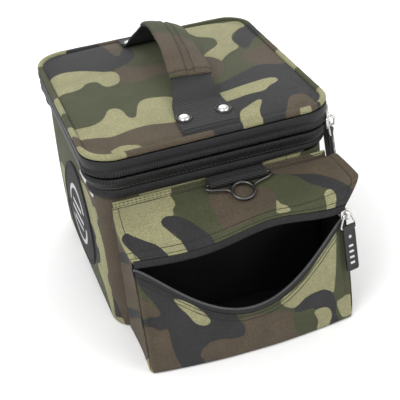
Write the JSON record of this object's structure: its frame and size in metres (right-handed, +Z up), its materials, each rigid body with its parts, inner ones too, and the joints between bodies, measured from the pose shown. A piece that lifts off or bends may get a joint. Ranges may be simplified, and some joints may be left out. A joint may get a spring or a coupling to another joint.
{
  "type": "padded gig bag",
  "caption": "Box-shaped padded carry bag in woodland camouflage cloth with a zipped, side-hinged lid, an arched top handle and a zipped front pocket.",
  "frame": {"origin": "centre of the body's base, on the floor", "axes": "+X right along the front, -Y to the front with the pocket, +Z up"},
  "size_m": [0.2242, 0.3055, 0.2353],
  "materials": {
    "camo_cloth": "printed woodland pattern, coarse woven polyester",
    "black_cloth": "black woven polyester",
    "webbing": "black twill webbing",
    "foam": "closed-cell foam padding",
    "board": "stiffening board",
    "lining": "smooth black nylon",
    "zip": "black zip tape with nylon coil",
    "nickel": "bright nickel plate",
    "gunmetal": "dark gunmetal plate",
    "rubber": "matte black rubber",
    "white_tape": "white woven tape"
  },
  "bodies": {
    "bag": {"outer_walls": "camo_cloth", "base_panel": "black_cloth", "base_board": "board", "base_foam": "foam", "front_foam": "foam", "back_foam": "foam", "left_foam": "foam", "right_foam": "foam", "body_lining": "lining", "body_band": "black_cloth", "body_zip_tape": "zip", "hinge_strip_lower": "camo_cloth", "side_patch": "black_cloth", "side_label": "white_tape", "front_loop": "webbing", "back_loop": "webbing", "pocket_flap": "camo_cloth", "pocket_upper_tape": "zip", "pocket_lower_tape": "zip", "pocket_front_panel": "camo_cloth", "pocket_gusset": "camo_cloth", "pocket_back_lining": "lining"},
    "lid": {"lid_cover": "camo_cloth", "lid_piping": "camo_cloth", "lid_band": "black_cloth", "lid_zip_tape": "zip", "hinge_strip_upper": "camo_cloth", "lid_foam": "foam", "lid_board": "board", "lid_lining": "lining", "handle_anchor_front": "webbing", "handle_anchor_back": "webbing", "rivet_washer_front_left": "gunmetal", "rivet_cap_front_left": "nickel", "rivet_washer_front_right": "gunmetal", "rivet_cap_front_right": "nickel", "rivet_washer_back_left": "gunmetal", "rivet_cap_back_left": "nickel", "rivet_washer_back_right": "gunmetal", "rivet_cap_back_right": "nickel"},
    "handle": {"handle_strap": "webbing", "handle_pad": "foam", "handle_sleeve": "camo_cloth"},
    "front_d_ring": {"front_ring": "gunmetal"},
    "back_d_ring": {"back_ring": "gunmetal"},
    "front_zip_slider": {"front_slider": "nickel"},
    "front_zip_pull": {"front_pull": "nickel"},
    "front_zip_tab": {"front_tab": "rubber"},
    "right_zip_slider": {"right_slider": "nickel"},
    "right_zip_pull": {"right_pull": "nickel"},
    "right_zip_tab": {"right_tab": "rubber"},
    "pocket_zip_slider": {"pocket_slider": "nickel"},
    "pocket_zip_pull": {"pocket_pull": "nickel"},
    "pocket_zip_tab": {"pocket_tab": "rubber"}
  },
  "joints": [
    {"name": "lid_hinge", "type": "hinge", "parent": "bag", "child": "lid", "pos_m": [-0.1115, 0, 0.16], "axis": [0, -1, 0], "range_deg": [0, 180]},
    {"name": "handle_sway", "type": "hinge", "parent": "lid", "child": "handle", "pos_m": [0, 0, 0.197], "axis": [0, 1, 0], "range_deg": [-15, 15], "stiffness_Nm_per_rad": 0.05},
    {"name": "front_ring_swing", "type": "hinge", "parent": "bag", "child": "front_d_ring", "pos_m": [0.0155, -0.1185, 0.1355], "axis": [-1, 0, 0], "range_deg": [0, 100]},
    {"name": "back_ring_swing", "type": "hinge", "parent": "bag", "child": "back_d_ring", "pos_m": [0.0155, 0.1185, 0.1355], "axis": [1, 0, 0], "range_deg": [-12, 145]},
    {"name": "front_slider_run", "type": "hinge", "parent": "bag", "child": "front_zip_slider", "pos_m": [0.0815, -0.087, 0.16], "axis": [0, 0, 1], "range_deg": [-17, 0]},
    {"name": "right_slider_run", "type": "slide", "parent": "bag", "child": "right_zip_slider", "axis": [0, 1, 0], "range_m": [0, 0.158]},
    {"name": "pocket_slider_run", "type": "hinge", "parent": "bag", "child": "pocket_zip_slider", "pos_m": [0.002, 0.28625, 0.1023], "axis": [0, 0, 1], "range_deg": [-21.8, 0]},
    {"name": "front_pull_swing", "type": "hinge", "parent": "front_zip_slider", "child": "front_zip_pull", "pos_m": [0.10799, -0.10108, 0.16], "axis": [-0.4695, -0.8829, 0], "range_deg": [0, 150]},
    {"name": "front_tab_swing", "type": "hinge", "parent": "front_zip_pull", "child": "front_zip_tab", "pos_m": [0.10799, -0.10108, 0.1485], "axis": [-0.4695, -0.8829, 0], "range_deg": [0, 88]},
    {"name": "right_pull_swing", "type": "hinge", "parent": "right_zip_slider", "child": "right_zip_pull", "pos_m": [0.1115, -0.0795, 0.16], "axis": [0, -1, 0], "range_deg": [0, 150]},
    {"name": "right_tab_swing", "type": "hinge", "parent": "right_zip_pull", "child": "right_zip_tab", "pos_m": [0.1115, -0.0795, 0.1485], "axis": [0, -1, 0], "range_deg": [-8, 80]},
    {"name": "pocket_pull_swing", "type": "hinge", "parent": "pocket_zip_slider", "child": "pocket_zip_pull", "pos_m": [0.08916, -0.16515, 0.10257], "axis": [-0.9819, -0.1896, 0], "range_deg": [0, 150]},
    {"name": "pocket_tab_swing", "type": "hinge", "parent": "pocket_zip_pull", "child": "pocket_zip_tab", "pos_m": [0.0895, -0.16691, 0.09121], "axis": [-0.9819, -0.1896, 0], "range_deg": [0, 80]}
  ]
}
